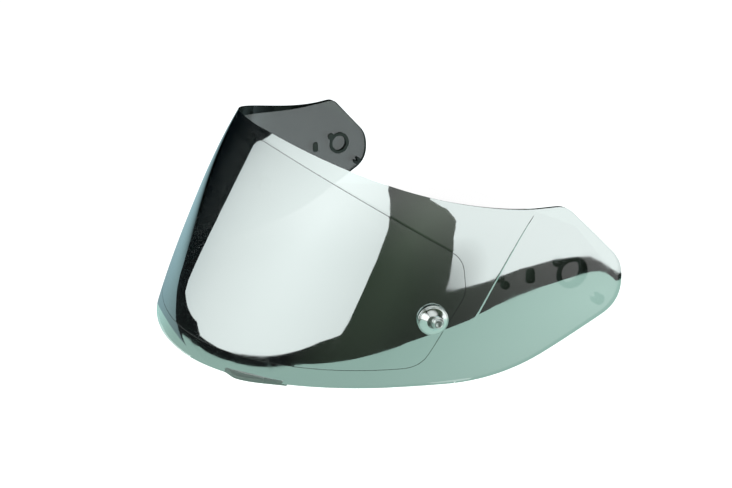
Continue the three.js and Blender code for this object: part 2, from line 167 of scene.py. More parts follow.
side_far = 0.6
side_edge = [
    (-0.31, 0.25), (-0.259, 0.213), (-0.224, 0.186), (-0.184, 0.158), (-0.159, 0.137),
    (-0.139, 0.12), (-0.124, 0.107), (-0.114, 0.095), (-0.109, 0.079), (-0.107, 0.058),
    (-0.103, 0.045), (-0.098, 0.024), (-0.091, -0.015), (-0.093, -0.028), (-0.073, -0.035),
    (-0.004, -0.046), (0.072, -0.055), (0.113, -0.063), (0.152, -0.071), (0.206, -0.087),
    (0.245, -0.101), (0.277, -0.119), (0.348, -0.162), (0.8, -0.3), (0.8, 0.12), (0.1, 0.24),
    (-0.25, 0.33)]
light_panel("side_light", [(side_far, y, z) for y, z in side_edge], strength=0.22,
            middle=(side_far, -0.12, -0.06), reach=0.12, edge_share=5.8)

overhead_height, overhead_half = 0.9, 0.7
light_panel("overhead_light", [(x * overhead_half, y * overhead_half, overhead_height)
                               for x, y in ((-1, -1), (1, -1), (1, 1), (-1, 1))],
            strength=1.0, middle=(0, 0, overhead_height), reach=1.4, edge_share=0.6)

table_tint, table_left_tint = (0.72, 1.0, 0.9), (0.72, 0.96, 1.0)
table_split = -0.03
table_edge = [
    (0.201, 0.127), (0.216, 0.127), (0.223, 0.126), (0.231, 0.123), (0.237, 0.117), (0.241, 0.107),
    (0.245, 0.09), (0.248, 0.07), (0.246, 0.048), (0.237, 0.029), (0.217, 0.008), (0.2, -0.019),
    (0.185, -0.039), (0.183, -0.069), (0.184, -0.104), (0.194, -0.149), (0.232, -0.258),
    (0.31, -0.44), (0.47, -0.85), (0.5, front_far), (-0.56, front_far), (-0.311, -0.558),
    (-0.083, -0.191), (table_split, -0.157), (table_split, 1.5), (0.19, 1.5)]
table_left_edge = [
    (table_split, -0.157), (-0.071, -0.159), (-0.095, -0.16), (-0.139, -0.17), (-0.184, -0.171),
    (-0.252, -0.184), (-0.357, -0.215), (-0.49, -0.239), (-0.746, -0.294), (-1.2, -0.377),
    (-1.2, 1.5), (table_split, 1.5)]
light_panel("table_glow_near", [(x, y, 0) for x, y in table_edge], strength=0.86,
            middle=(0.19, 0.11, 0), reach=0.16, edge_share=0.78, colour=table_tint)
light_panel("table_glow_left", [(x, y, 0) for x, y in table_left_edge], strength=0.71,
            middle=(-0.21, 0.07, 0), reach=0.5, edge_share=0.0, colour=table_left_tint)
riser_edge = [
    (0.5, 0), (0.239, 0.023), (0.102, 0.031), (-0.046, 0.037), (-0.212, 0.033), (-0.43, 0.02),
    (-0.56, 0)]
light_panel("table_riser", [(x, front_far, z) for x, z in riser_edge], strength=0.68,
            middle=(0, front_far, 0), reach=2.0, edge_share=0.7, colour=table_tint)

room_dark, room_dim = (0.002, 0.003, 0.004), (0.08, 0.105, 0.072)
world = bpy.data.worlds.new("studio")
world.use_nodes = True
bpy.context.scene.world = world
tree = world.node_tree
tree.nodes.clear()
look = add_node(tree, "TexCoord").outputs["Generated"]
parts = add_node(tree, "SeparateXYZ", {"Vector": look}).outputs
leftward = remap(tree, parts["X"], (0.35, 0.85), (0, 1))
upward = remap(tree, parts["Z"], (-0.35, 0.15), (0, 1))
dim_side = add_node(tree, "Math", {0: leftward, 1: upward}, operation="MULTIPLY")
tone = colour_between(tree, dim_side.outputs["Value"], room_dark, room_dim)
dark = add_node(tree, "Background", {"Color": tone}).outputs["Background"]
seen = add_node(tree, "Background", {"Color": (*white, 1)}).outputs["Background"]
to_camera = add_node(tree, "LightPath").outputs["Is Camera Ray"]
choice = add_node(tree, "MixShader", {"Fac": to_camera, 1: dark, 2: seen})
add_node(tree, "OutputWorld", {"Surface": choice.outputs["Shader"]})

# Shield. One injection-moulded wall of smoke polycarbonate, curved both ways, with a silver
# mirror film on its outside. The lugs inside the wings, the finger tab on the lower edge and the
# pocket for the insert are moulded in it; its top edge is bevelled inside as far as the crease.
pivots = Vector((0, 0.062755, 0.042))  # middle of the line through both pivots
face_radius = 0.108
face_half_angle = math.radians(67)
wing_radius = 0.310
face_reach = 0.1235
rake = math.tan(math.radians(30))
mid_height = 0.005
roll_span = 0.050
top_roll = 0.0062
chin_roll = 0.0027
roll_power = 2.5
side_relief = 0.0052
relief_width = 0.100
wall = 0.0022
arc_length = face_radius * face_half_angle
longest_arc, halvings = 0.3, 30  # a search ends well within a thousandth of a millimetre


def wall_frame(along, up):
    """Place and outward direction on the outer surface, at the end of an arc from the middle."""
    run = abs(along)
    on_face = min(run, arc_length)
    face_turn = on_face / face_radius
    turn = face_turn + (run - on_face) / wing_radius
    x = face_radius * math.sin(face_turn) + wing_radius * (math.sin(turn) - math.sin(face_turn))
    y = (face_radius * (1 - math.cos(face_turn))
         + wing_radius * (math.cos(face_turn) - math.cos(turn)))
    level = (up - mid_height) / roll_span
    roll = top_roll if level > 0 else chin_roll
    easing = side_relief * (x / relief_width) ** 2
    lean = rake * (up - mid_height) + roll * abs(level) ** roll_power
    roll_slope = math.copysign(roll * roll_power * abs(level) ** (roll_power - 1), level)
    lean_slope = rake + (roll_slope - easing) / roll_span
    easing_slope = 2 * side_relief * level * x / relief_width ** 2
    side = -1 if along < 0 else 1
    place = Vector((side * x, y - face_reach + lean - easing * level, up))
    out = Vector((side * (math.sin(turn) - easing_slope * math.cos(turn)), -math.cos(turn),
                  math.cos(turn) * lean_slope))
    return place, out.normalized()


def along_at(back, up):
    """How far round the surface a place lies that is known from its side view."""
    near, far = 0.0, longest_arc
    for _ in range(halvings):
        middle = (near + far) / 2
        if wall_frame(middle, up)[0].y < back:
            near = middle
        else:
            far = middle
    return near


crease_top = (-0.0198, 0.0206)
crease_foot = (-0.0465, -0.0234)
crease_step = 0.0002
crease_blend = 0.0008
crease_fade = 0.014
crease_start = along_at(*crease_foot)
crease_lean = (along_at(*crease_top) - crease_start) / (crease_top[1] - crease_foot[1])
crease_length = math.dist(crease_top, crease_foot)


def smooth_step(value):
    value = min(max(value, 0), 1)
    return value * value * (3 - 2 * value)


def crease_depth(along, up):
    """The wall rolls in towards the crease and stays that much lower behind it."""
    ahead = crease_start + crease_lean * (up - crease_foot[1]) - abs(along)
    climb = (up - crease_foot[1]) / (crease_top[1] - crease_foot[1]) * crease_length
    fade = smooth_step(1 + climb / crease_fade)
    fade *= 1 - smooth_step((climb - crease_length) / crease_fade)
    return crease_step * fade * min(max(1 - ahead / crease_blend, 0), 1) ** 2


def on_wall(chart, depth):
    place, out = wall_frame(*chart)
    return pivots + place - out * (depth + crease_depth(*chart))


# Outlines are seen from the side: distance behind the pivots, height above them
curve_steps = 14
round_pull = 2 / 3  # how far towards its corner a rounding is pulled


def cubic(start, pull, back_pull, end, steps=curve_steps):
    points = interpolate_bezier(*(Vector((*p, 0)) for p in (start, pull, back_pull, end)), steps)
    return [(p.x, p.y) for p in points]


def rounded(before, corner, after, radius):
    """A curve round a corner of an outline."""
    corner = Vector(corner)
    into = (corner - Vector(before)).normalized()
    out = (Vector(after) - corner).normalized()
    set_back = radius * math.tan(into.angle(out) / 2)
    start, end = corner - into * set_back, corner + out * set_back
    return cubic(start, start.lerp(corner, round_pull), end.lerp(corner, round_pull), end)


def behind_face(path):
    """The part of an outline that is not ahead of the middle of the face."""
    def ahead(place):
        return place[0] < wall_frame(0, place[1])[0].y
    k = next(k for k, place in enumerate(path) if not ahead(place))
    near, far = Vector(path[k - 1]), Vector(path[k])
    for _ in range(halvings):
        middle = near.lerp(far, 0.5)
        near, far = (middle, far) if ahead(middle) else (near, middle)
    return [tuple(far)] + path[k:]


least_gap = 1e-9  # a line that is no further off than this still meets the edge


class Edge:
    """One long edge of a panel laid on the surface, from the middle of the face to the rear."""

    def __init__(self, path, step=0.001):
        path = behind_face(path)
        fine = []
        for start, end in zip(path[:-1], path[1:]):
            count = max(1, round(math.dist(start, end) / step))
            fine += [tuple(Vector(start).lerp(Vector(end), k / count)) for k in range(count)]
        fine.append(path[-1])
        self.points = np.array([(along_at(*place), place[1]) for place in fine])
        self.run = np.concatenate([[0], np.cumsum(np.hypot(*np.diff(self.points, axis=0).T))])

    def crossing(self, along_of):
        """Where a line across the surface, given as along for each height, meets the edge."""
        gap = self.points[:, 0] - np.array([along_of(up) for up in self.points[:, 1]])
        k = int(np.argmax(gap > least_gap))
        share = gap[k - 1] / (gap[k - 1] - gap[k]) if k else 0.0
        return self.run[max(k - 1, 0)] + share * (self.run[k] - self.run[max(k - 1, 0)])

    def at(self, run):
        return tuple(np.interp(run, self.run, self.points[:, i]) for i in (0, 1))


def ribs(top, foot, stations, rear_ribs):
    """Pairs of edge places: lines across the surface, then even steps to the rear end."""
    pairs = []
    for station in stations:
        tops, feet = top.crossing(station), foot.crossing(station)
        pairs.append((top.at(tops), foot.at(feet)))
    for k in range(1, rear_ribs + 1):
        pairs.append((top.at(tops + (top.run[-1] - tops) * k / rear_ribs),
                      foot.at(feet + (foot.run[-1] - feet) * k / rear_ribs)))
    mirrored = [tuple((-along, up) for along, up in pair) for pair in reversed(pairs[1:])]
    return mirrored + pairs


# Marks that say which finish a face takes
outer_mark, inner_mark, rim_mark, lip_mark, tab_mark = range(5)


def mark_faces(bm, mark):
    for face in bm.faces:
        face.material_index = mark


def turn_outwards(bm):
    bmesh.ops.recalc_face_normals(bm, faces=bm.faces)


def at(given, *place):
    """A value given as it is, or as a function of the place."""
    return given(*place) if callable(given) else given


def curved_panel(outer_ribs, inner_ribs, shares, outer_depth, inner_depth):
    """Closed curved panel: a grid laid on the surface, given a second face further in. The
    depths may be functions of the rib's ends and the share of its height. Its faces are marked
    as outer, inner and rim."""
    across, down = len(outer_ribs) - 1, len(shares) - 1
    bm = bmesh.new()
    bmesh.ops.create_grid(bm, x_segments=across, y_segments=down, size=1)
    rib = bm.verts.layers.int.new("rib")
    row = bm.verts.layers.int.new("row")
    for v in bm.verts:
        v[rib] = round((v.co.x + 1) / 2 * across)
        v[row] = round((v.co.y + 1) / 2 * down)
    sheet = bm.faces[:]
    grown = bmesh.ops.extrude_face_region(
        bm, geom=sheet + bm.edges[:] + bm.verts[:], use_keep_orig=True)["geom"]
    inner = {g for g in grown if isinstance(g, bmesh.types.BMVert)}
    for v in bm.verts:
        deep = v in inner
        ends = (inner_ribs if deep else outer_ribs)[v[rib]]
        share = at(shares[v[row]], ends)
        (top_along, top_up), (foot_along, foot_up) = ends
        chart = (foot_along + (top_along - foot_along) * share,
                 foot_up + (top_up - foot_up) * share)
        v.co = on_wall(chart, at(inner_depth if deep else outer_depth, ends, share))
        v.co.z = max(v.co.z, 0)  # trimmed level where the visor stands
    inner_faces = {g for g in grown if isinstance(g, bmesh.types.BMFace)}
    for face in bm.faces:
        face.material_index = inner_mark if face in inner_faces else rim_mark
    for face in sheet:
        face.material_index = outer_mark
    turn_outwards(bm)
    return bm


def sharp_edges(bm, least_angle=50):
    return [e for e in bm.edges if e.calc_face_angle(0) > math.radians(least_angle)]


def outer_edges(bm, least_angle=50):
    return [e for e in sharp_edges(bm, least_angle)
            if any(f.material_index == outer_mark for f in e.link_faces)]


def soften(bm, edges, radius, segments=2, material=-1):
    bmesh.ops.bevel(bm, geom=edges, offset=radius, offset_type="OFFSET", segments=segments,
                    profile=0.5, affect="EDGES", material=material, clamp_overlap=True)


def combine(piece, tool_bm, operation):
    """Cut a moulded piece with another solid, or join one to it."""
    tool = finished(tool_bm, "tool", [])
    change = piece.modifiers.new("change", "BOOLEAN")
    change.operation = operation
    change.solver = "MANIFOLD"
    change.object = tool
    result = bpy.data.meshes.new_from_object(
        piece.evaluated_get(bpy.context.evaluated_depsgraph_get()))
    piece.modifiers.clear()
    before, piece.data = piece.data, result
    bpy.data.meshes.remove(before)
    bpy.data.objects.remove(tool)


def smooth(piece, sharp_angle):
    piece.data.shade_smooth()
    piece.data.set_sharp_from_angle(angle=math.radians(sharp_angle))


top_ahead, foot_ahead = -0.13, -0.17  # outlines start ahead of the face and are cut back to it
top_front = (-0.0915, 0.051)
brow_pull, temple_pull = (-0.072, 0.0404), (-0.040, 0.0296)
top_rear = (-0.015, 0.0286)
wing_top = (-0.0027, 0.0286)
tip_top = (0.0228, 0.001)
tip_low = (0.0228, -0.0175)
wing_root = (-0.0317, -0.042)
lower_edge = -0.042
foot_front = (-0.143, lower_edge)
edge_lift = 0.0012
foot_level = 0.0014
tip_rounding, tip_low_rounding, top_rounding, root_rounding = 0.0172, 0.0152, 0.009, 0.093
long_steps = 30

top_path = [(top_ahead, top_front[1])]
top_path += cubic(top_front, brow_pull, temple_pull, top_rear, long_steps)
top_path += rounded(top_rear, wing_top, tip_top, top_rounding)
top_path += rounded(wing_top, tip_top, tip_low, tip_rounding)
root_curve = rounded(tip_low, wing_root, foot_front, root_rounding)
foot_rear = (root_curve[-1][0] - foot_level, lower_edge)
# A curve rises by three quarters of its pull
lift_pull = ((foot_rear[0] + foot_front[0]) / 2, lower_edge + 4 / 3 * edge_lift)
foot_path = [(foot_ahead, lower_edge)]
foot_path += cubic(foot_front, lift_pull, lift_pull, foot_rear, long_steps)
foot_path += list(reversed(root_curve))
foot_path += list(reversed(rounded(tip_top, tip_low, wing_root, tip_low_rounding)))
shield_top, shield_foot = Edge(top_path), Edge(foot_path)

rib_spacing = 0.0018
crease_middle = 0.003  # height at which the ribs keep their stations
crease_station = crease_start + crease_lean * (crease_middle - crease_foot[1])
lean_reach = 0.030  # the ribs take up the crease's slant over this length


def rib_line(station):
    tilt = crease_lean * smooth_step(1 - (crease_station - station) / lean_reach)
    return lambda up: station + tilt * (up - crease_middle)


ahead_of_blend, behind_crease = 0.002, 0.0006
blend_ribs, shield_rear_ribs = 9, 44
plain_end = crease_station - crease_blend - ahead_of_blend
plain_ribs = round(plain_end / rib_spacing)
stations = [plain_end * k / plain_ribs for k in range(plain_ribs)]
stations += [plain_end + (crease_station - plain_end) * k / blend_ribs
             for k in range(blend_ribs + 1)]
stations.append(crease_station + behind_crease)
shield_ribs = ribs(shield_top, shield_foot, [rib_line(s) for s in stations], shield_rear_ribs)

lip_width = 0.0047
lip_slope = 0.34
lip_least = 0.0003
lip_taper = 2.8  # the higher, the closer to the crease the lip narrows
lip_end = shield_top.at(shield_top.crossing(rib_line(crease_station)))[0]


def lip_at(ends):
    taper = 1 - min(abs(ends[0][0]) / lip_end, 1) ** lip_taper
    return max(lip_width * taper, lip_least)


def rib_length(ends):
    return math.dist(*ends)


def below_lip(share):
    return lambda ends: (1 - lip_at(ends) / rib_length(ends)) * share


def in_lip(share):
    return lambda ends: 1 - lip_at(ends) / rib_length(ends) * (1 - share)


def shield_inside(ends, share):
    below_top = (1 - share) * rib_length(ends)
    return wall - max(lip_at(ends) - below_top, 0) * lip_slope


wall_rows = 40
outer_rounding, inner_rounding = 0.00045, 0.0001
shares = [below_lip(k / wall_rows) for k in range(wall_rows + 1)] + [in_lip(0.5), in_lip(1)]
bm = curved_panel(shield_ribs, shield_ribs, shares, 0, shield_inside)
row = bm.verts.layers.int["row"]
for face in bm.faces:
    if face.material_index == inner_mark and min(v[row] for v in face.verts) >= wall_rows:
        face.material_index = lip_mark
soften(bm, outer_edges(bm), outer_rounding, material=rim_mark)
soften(bm, sharp_edges(bm), inner_rounding, material=rim_mark)


def noise(tree, place, scale, detail, distortion=0.0):
    return add_node(tree, "TexNoise", {"Vector": place, "Scale": scale, "Detail": detail,
                                       "Distortion": distortion}).outputs["Fac"]


def bump(tree, height, strength, distance):
    return add_node(tree, "Bump", {"Height": height, "Strength": strength,
                                   "Distance": distance}).outputs["Normal"]


# Mirror film: silver, a little bluer and less see-through at a glancing angle, with faint smears
# and handling marks
mirror_film, tree = new_material("mirror_film")
glancing = add_node(tree, "LayerWeight", {"Blend": 0.5}).outputs["Facing"]
place = add_node(tree, "TexCoord").outputs["Object"]
mottle = noise(tree, place, scale=28, detail=3)
smear = noise(tree, place, scale=55, detail=6, distortion=1.2)
surface(tree, "BsdfPrincipled", {
    "Metallic": 1, "Specular Tint": (0.86, 0.95, 1.0, 1),
    "Base Color": colour_between(tree, mottle, (0.85, 0.955, 0.935), (0.89, 0.99, 0.97)),
    "Roughness": remap(tree, smear, (0.45, 0.8), (0.022, 0.07)),
    "Alpha": remap(tree, glancing, (0.5, 0.85), (0.6, 0.97), easing="SMOOTHSTEP"),
    "Normal": bump(tree, mottle, strength=0.02, distance=0.001)})


def moulded(name, colour, fleck, roughness, grain_size, grain_depth, alpha=1.0, ior=1.58,
            specular=0.5):
    """Moulded plastic or rubber: mottled colour, uneven gloss and a fine grain."""
    material, tree = new_material(name)
    place = add_node(tree, "TexCoord").outputs["Object"]
    mottle = noise(tree, place, scale=90, detail=4)
    grain = noise(tree, place, scale=1 / grain_size, detail=2)
    surface(tree, "BsdfPrincipled", {
        "Base Color": colour_between(tree, mottle, colour, fleck),
        "Roughness": remap(tree, mottle, (0.3, 0.75), roughness),
        "Normal": bump(tree, grain, strength=0.4, distance=grain_depth),
        "Alpha": alpha, "IOR": ior, "Specular IOR Level": specular})
    return material


smoke_inside = moulded(
    "smoke_inside", colour=(0.010, 0.015, 0.012), fleck=(0.014, 0.020, 0.016),
    roughness=(0.05, 0.12), grain_size=0.004, grain_depth=0.00001, alpha=0.78, specular=0.25)
smoke_edge = moulded(
    "smoke_edge", colour=(0.006, 0.009, 0.007), fleck=(0.012, 0.016, 0.013), roughness=(0.12, 0.3),
    grain_size=0.0006, grain_depth=0.00002)
# The bevelled lip is polished: it looks black from inside, and lets some light out
smoke_lip = moulded(
    "smoke_lip", colour=(0.003, 0.005, 0.004), fleck=(0.005, 0.007, 0.006), roughness=(0.05, 0.1),
    grain_size=0.0006, grain_depth=0.00001, specular=0.1)
tree = smoke_lip.node_tree
edge_on = add_node(tree, "Fresnel", {"IOR": 8.0}).outputs["Fac"]
cover = remap(tree, edge_on, (0.7, 0.95), (1.0, 0.78))
tree.links.new(cover, tree.nodes["Principled BSDF"].inputs["Alpha"])
# The finger tab has a satin finish, and its grey-green colour is painted reflection: it stands in
# for the mirror film's reflection of the pale table
satin_tab_painted_reflection = moulded(
    "satin_tab_painted_reflection", colour=(0.10, 0.15, 0.13), fleck=(0.14, 0.20, 0.175), roughness=(0.25, 0.4),
    grain_size=0.0008, grain_depth=0.00002)
shield = finished(bm, "shield_wall", [mirror_film, smoke_inside, smoke_edge, smoke_lip,
                                      satin_tab_painted_reflection])

# Pocket inside, with a drafted rim
recess = 0.0009
pocket_floor = wall - recess
overrun = 0.001  # cuts go this far past what they cut
pocket_draft = 0.0005
pocket_top_edge = 0.0035
pocket_rear_top = (-0.0448, 0.0112)
pocket_rear_low = (-0.0448, -0.0035)
pocket_foot = (-0.065, -0.0332)
outline_front = -0.175
pocket_top = wall_frame(0, top_front[1] - pocket_top_edge)[0]
pocket_slope = (pocket_top.z - pocket_rear_top[1]) / (pocket_rear_top[0] - pocket_top.y)
pocket_rise = (pocket_rear_top[0] - outline_front) * pocket_slope
pocket_high = (outline_front, pocket_rear_top[1] + pocket_rise)
pocket_low = (outline_front, pocket_foot[1])
pocket_corners = [pocket_low, pocket_foot, pocket_rear_low, pocket_rear_top, pocket_high]
pocket_roundings = [0, 0.013, 0.012, 0.010, 0]
least_rounding = 0.0002
rear_share = 0.45  # each long edge of a loop takes this much of its rear side


def loop_edges(corners, roundings, inset):
    """Both long edges of a loop whose sides are moved in by a distance."""
    runs = [(Vector(b) - Vector(a)).normalized()
            for a, b in zip(corners, corners[1:] + corners[:1])]
    starts = [Vector(c) + Vector((-run.y, run.x)) * inset for c, run in zip(corners, runs)]
    moved = []
    for k, (start, run) in enumerate(zip(starts, runs)):
        reach = (start - starts[k - 1]).cross(run) / runs[k - 1].cross(run)
        moved.append(starts[k - 1] + runs[k - 1] * reach)
    left = [max(rounding - inset, least_rounding) for rounding in roundings]
    turn = (len(corners) - 1) // 2
    foot, top = [tuple(moved[0])], [tuple(moved[-1])]
    for k in range(1, turn + 1):
        foot += rounded(moved[k - 1], moved[k], moved[k + 1], left[k])
    for k in range(len(corners) - 2, turn, -1):
        top += rounded(moved[k + 1], moved[k], moved[k - 1], left[k])
    low, high = Vector(foot[-1]), Vector(top[-1])
    return (Edge(top + [tuple(high.lerp(low, rear_share))]),
            Edge(foot + [tuple(low.lerp(high, rear_share))]))


loop_spacing = 0.0025
loop_plain_end = 0.1025  # behind this the ribs are spread evenly along both edges
loop_rear_ribs, loop_rows = 40, 24
loop_stations = [lambda up, along=loop_spacing * k: along
                 for k in range(round(loop_plain_end / loop_spacing) + 1)]
loop_shares = [k / loop_rows for k in range(loop_rows + 1)]


def loop_ribs(inset):
    return ribs(*loop_edges(pocket_corners, pocket_roundings, inset), loop_stations,
                loop_rear_ribs)


bm = curved_panel(loop_ribs(0), loop_ribs(-pocket_draft * (1 + overrun / recess)),
                  loop_shares, pocket_floor, wall + overrun)
for face in bm.faces:
    face.material_index = max(face.material_index, inner_mark)
combine(shield, bm, "DIFFERENCE")


def half_loop(corners, roundings, inset, steps):
    """From the middle of a loop's foot round its rear to the middle of its top."""
    top, foot = loop_edges(corners, roundings, inset)
    half = [foot.at(foot.run[-1] * k / steps) for k in range(steps)]
    return half + [top.at(top.run[-1] * k / steps) for k in range(steps, -1, -1)]


merge_distance = 1e-6
strip_flatness, strip_fullness = 0.7, 0.6  # below 1 the oblong section is fuller than an oval


def loop_strip(corners, roundings, insets, outer_depth, thickness, steps=150, sides=12):
    """Closed strip of oblong section, laid on the surface round a loop."""
    loop = list(zip(*(half_loop(corners, roundings, inset, steps) for inset in insets)))
    loop += [((-o[0], o[1]), (-i[0], i[1])) for o, i in reversed(loop[1:-1])]
    bm = bmesh.new()
    bmesh.ops.create_grid(bm, x_segments=len(loop), y_segments=sides, size=1)
    for v in bm.verts:
        outer_place, inner_place = loop[round((v.co.x + 1) / 2 * len(loop)) % len(loop)]
        turn = (v.co.y + 1) * math.pi
        across, height = (math.copysign(abs(wave) ** power, wave) / 2 for wave, power in (
            (math.cos(turn), strip_flatness), (math.sin(turn), strip_fullness)))
        share = 1 / 2 - across
        chart = tuple(o + (i - o) * share for o, i in zip(outer_place, inner_place))
        v.co = on_wall(chart, outer_depth + thickness * (1 / 2 + height))
    bmesh.ops.remove_doubles(bm, verts=bm.verts, dist=merge_distance)
    turn_outwards(bm)
    return bm


# A fine line in the film follows the pocket's edge
line_half_width, line_depth = 0.00011, 0.0001
bm = loop_strip(pocket_corners, pocket_roundings, (-line_half_width, line_half_width), -line_depth,
                2 * line_depth, sides=8)
mark_faces(bm, rim_mark)
combine(shield, bm, "DIFFERENCE")

# Lugs inside both wings, each grown from the middle of the wall to its own level
lug_rounding = 0.0003
lug_edge_angle = 1  # radians


def lug(outline, middle, reach):
    """Both lugs of a pair, from an outline in side view that faces fill."""
    inner_face = wall_frame(along_at(*middle), middle[1])[0].x - wall
    grown = bmesh.ops.extrude_face_region(outline, geom=outline.faces[:],
                                          use_keep_orig=True)["geom"]
    end_verts = {g for g in grown if isinstance(g, bmesh.types.BMVert)}
    end_faces = [g for g in grown if isinstance(g, bmesh.types.BMFace)]
    for v in outline.verts:
        if v in end_verts:
            v.co = pivots + Vector((inner_face - reach, v.co.y, v.co.z))
        else:
            v.co = on_wall((along_at(v.co.y, v.co.z), v.co.z), wall / 2)
    turn_outwards(outline)
    rim = {e for f in end_faces for e in f.edges if e.calc_face_angle(0) > lug_edge_angle}
    soften(outline, list(rim), lug_rounding)
    mark_faces(outline, rim_mark)
    bmesh.ops.mirror(outline, geom=outline.verts[:] + outline.edges[:] + outline.faces[:],
                     axis="X", merge_dist=-1)
    turn_outwards(outline)
    return outline


def disc_outline(middle, radius, segments=40):
    bm = bmesh.new()
    turn = Matrix.Translation((0, *middle)) @ Matrix.Rotation(math.pi / 2, 4, "Y")
    bmesh.ops.create_circle(bm, cap_ends=True, segments=segments, radius=radius, matrix=turn)
    return bm


ring_radius, ring_bore, ring_reach = 0.007, 0.0048, 0.002
ring_middle = (0.001, -0.0012)
ring = disc_outline(ring_middle, ring_radius, segments=64)
bmesh.ops.inset_region(ring, faces=ring.faces[:], thickness=ring_radius - ring_bore,
                        use_boundary=True)
bore_face = min(ring.faces, key=lambda f: max(e.calc_length() for e in f.edges))
bmesh.ops.delete(ring, geom=[bore_face], context="FACES_ONLY")
stop_middle, stop_width, stop_height = (-0.0172, 0), 0.0036, 0.0063
stop_rounding, stop_reach = 0.0012, 0.0013
stop = bmesh.new()
bmesh.ops.create_grid(stop, x_segments=1, y_segments=1, size=0.5)
bmesh.ops.transform(stop, verts=stop.verts, matrix=(
    Matrix.Translation((0, *stop_middle)) @ Matrix.Rotation(math.pi / 2, 4, "Y")
    @ Matrix.Diagonal((stop_height, stop_width, 1, 1))))
bmesh.ops.bevel(stop, geom=stop.verts[:], offset=stop_rounding, offset_type="OFFSET", segments=6,
                profile=0.5, affect="VERTICES", material=-1)
peg_middle, peg_radius, peg_reach = (0.0143, -0.016), 0.0024, 0.0036
peg_from, peg_turn = math.radians(155), math.radians(310)
peg = bmesh.new()
peg_hub = peg.verts.new((0, *peg_middle))
peg_first = peg.verts.new((0, peg_middle[0] + peg_radius * math.cos(peg_from),
                           peg_middle[1] + peg_radius * math.sin(peg_from)))
bmesh.ops.spin(peg, geom=[peg_first], cent=peg_hub.co, axis=(1, 0, 0), angle=peg_turn, steps=36,
               use_merge=False, use_duplicate=False)
for end in [v for v in peg.verts if len(v.link_edges) == 1]:
    bmesh.ops.contextual_create(peg, geom=[peg_hub, end])
bmesh.ops.contextual_create(peg, geom=peg.edges[:])
snap_radius, snap_high, snap_low = 0.0018, (-0.0299, 0.0005), (-0.0278, -0.0027)
snap_high_reach, snap_low_reach = 0.0011, 0.0015
ear_radius, ear_middle, ear_reach = 0.0022, (-0.0052, 0.0044), 0.0014
for outline, middle, reach in (
        (disc_outline(ear_middle, ear_radius), ear_middle, ear_reach),
        (ring, ring_middle, ring_reach),
        (stop, stop_middle, stop_reach),
        (disc_outline(snap_high, snap_radius), snap_high, snap_high_reach),
        (disc_outline(snap_low, snap_radius), snap_low, snap_low_reach),
        (peg, peg_middle, peg_reach)):
    combine(shield, lug(outline, middle, reach), "UNION")

# Finger tab on the wearer's left: a ledge that rises quickly at its front end and dies out
tab_start, tab_peak, tab_end = math.radians(28), math.radians(33.5), math.radians(44.5)
tab_reach, tab_rounding = 0.0038, 0.0003
tab_sink = 0.0001  # its ends start this far inside the film
tab_top, tab_edge, tab_foot, tab_root = -0.0396, -0.0403, -0.0418, 0.0012


def tab_rise(along):
    turn = along / face_radius
    return (smooth_step((turn - tab_start) / (tab_peak - tab_start))
            * (1 - smooth_step((turn - tab_peak) / (tab_end - tab_peak))))


tab_steps = 36
tab_alongs = [face_radius * (tab_start + (tab_end - tab_start) * k / tab_steps)
              for k in range(tab_steps + 1)]
tab_outer = [((along, tab_top + (tab_edge - tab_top) * tab_rise(along)), (along, tab_foot))
             for along in tab_alongs]
tab_inner = [((along, tab_top), (along, tab_foot)) for along in tab_alongs]
bm = curved_panel(tab_outer, tab_inner, [0, 0.5, 1],
                  lambda ends, share: tab_sink - tab_reach * tab_rise(ends[0][0]), tab_root)
soften(bm, outer_edges(bm, least_angle=40), tab_rounding, segments=3)
mark_faces(bm, tab_mark)
combine(shield, bm, "UNION")

# Posts stand square to the surface: Z out of it, X to the rear
post_place = (-0.0587, -0.0129)
post_along = along_at(*post_place)
rear_step = 0.001


def post_frame(side):
    chart = (side * post_along, post_place[1])
    spot, out = wall_frame(*chart)
    rear = wall_frame(side * (post_along + rear_step), post_place[1])[0] - spot
    rear = (rear - out * rear.dot(out)).normalized()
    turn = Matrix((rear, out.cross(rear), out)).transposed().to_4x4()
    return Matrix.Translation(on_wall(chart, 0)) @ turn


post_frames = {"left": post_frame(1), "right": post_frame(-1)}


def turned(profile, place=None, offset=0.0, steps=96):
    """Solid turned about Z from radius and height pairs, moved along X by the offset."""
    bm = bmesh.new()
    chain = [bm.verts.new((radius, 0, height)) for radius, height in profile]
    for pair in zip(chain[:-1], chain[1:]):
        bm.edges.new(pair)
    bmesh.ops.spin(bm, geom=bm.verts[:] + bm.edges[:], cent=(0, 0, 0), axis=(0, 0, 1),
                   angle=2 * math.pi, steps=steps, use_merge=True, use_duplicate=False)
    bmesh.ops.remove_doubles(bm, verts=bm.verts, dist=merge_distance)
    turn_outwards(bm)
    bmesh.ops.translate(bm, verts=bm.verts, vec=(offset, 0, 0))
    if place:
        bmesh.ops.transform(bm, verts=bm.verts, matrix=place)
    return bm


def barrel(radius, low, high):
    return [(0, low), (radius, low), (radius, high), (0, high)]


def bore(piece, radius, low, high, mark=0, **turning):
    drill = turned(barrel(radius, low, high), **turning)
    mark_faces(drill, mark)
    combine(piece, drill, "DIFFERENCE")


hub_bore = 0.003
for place in post_frames.values():
    bore(shield, hub_bore, -wall - overrun, overrun, mark=rim_mark, place=place)

smooth(shield, sharp_angle=16)
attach(shield, "shield")
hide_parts("shield")

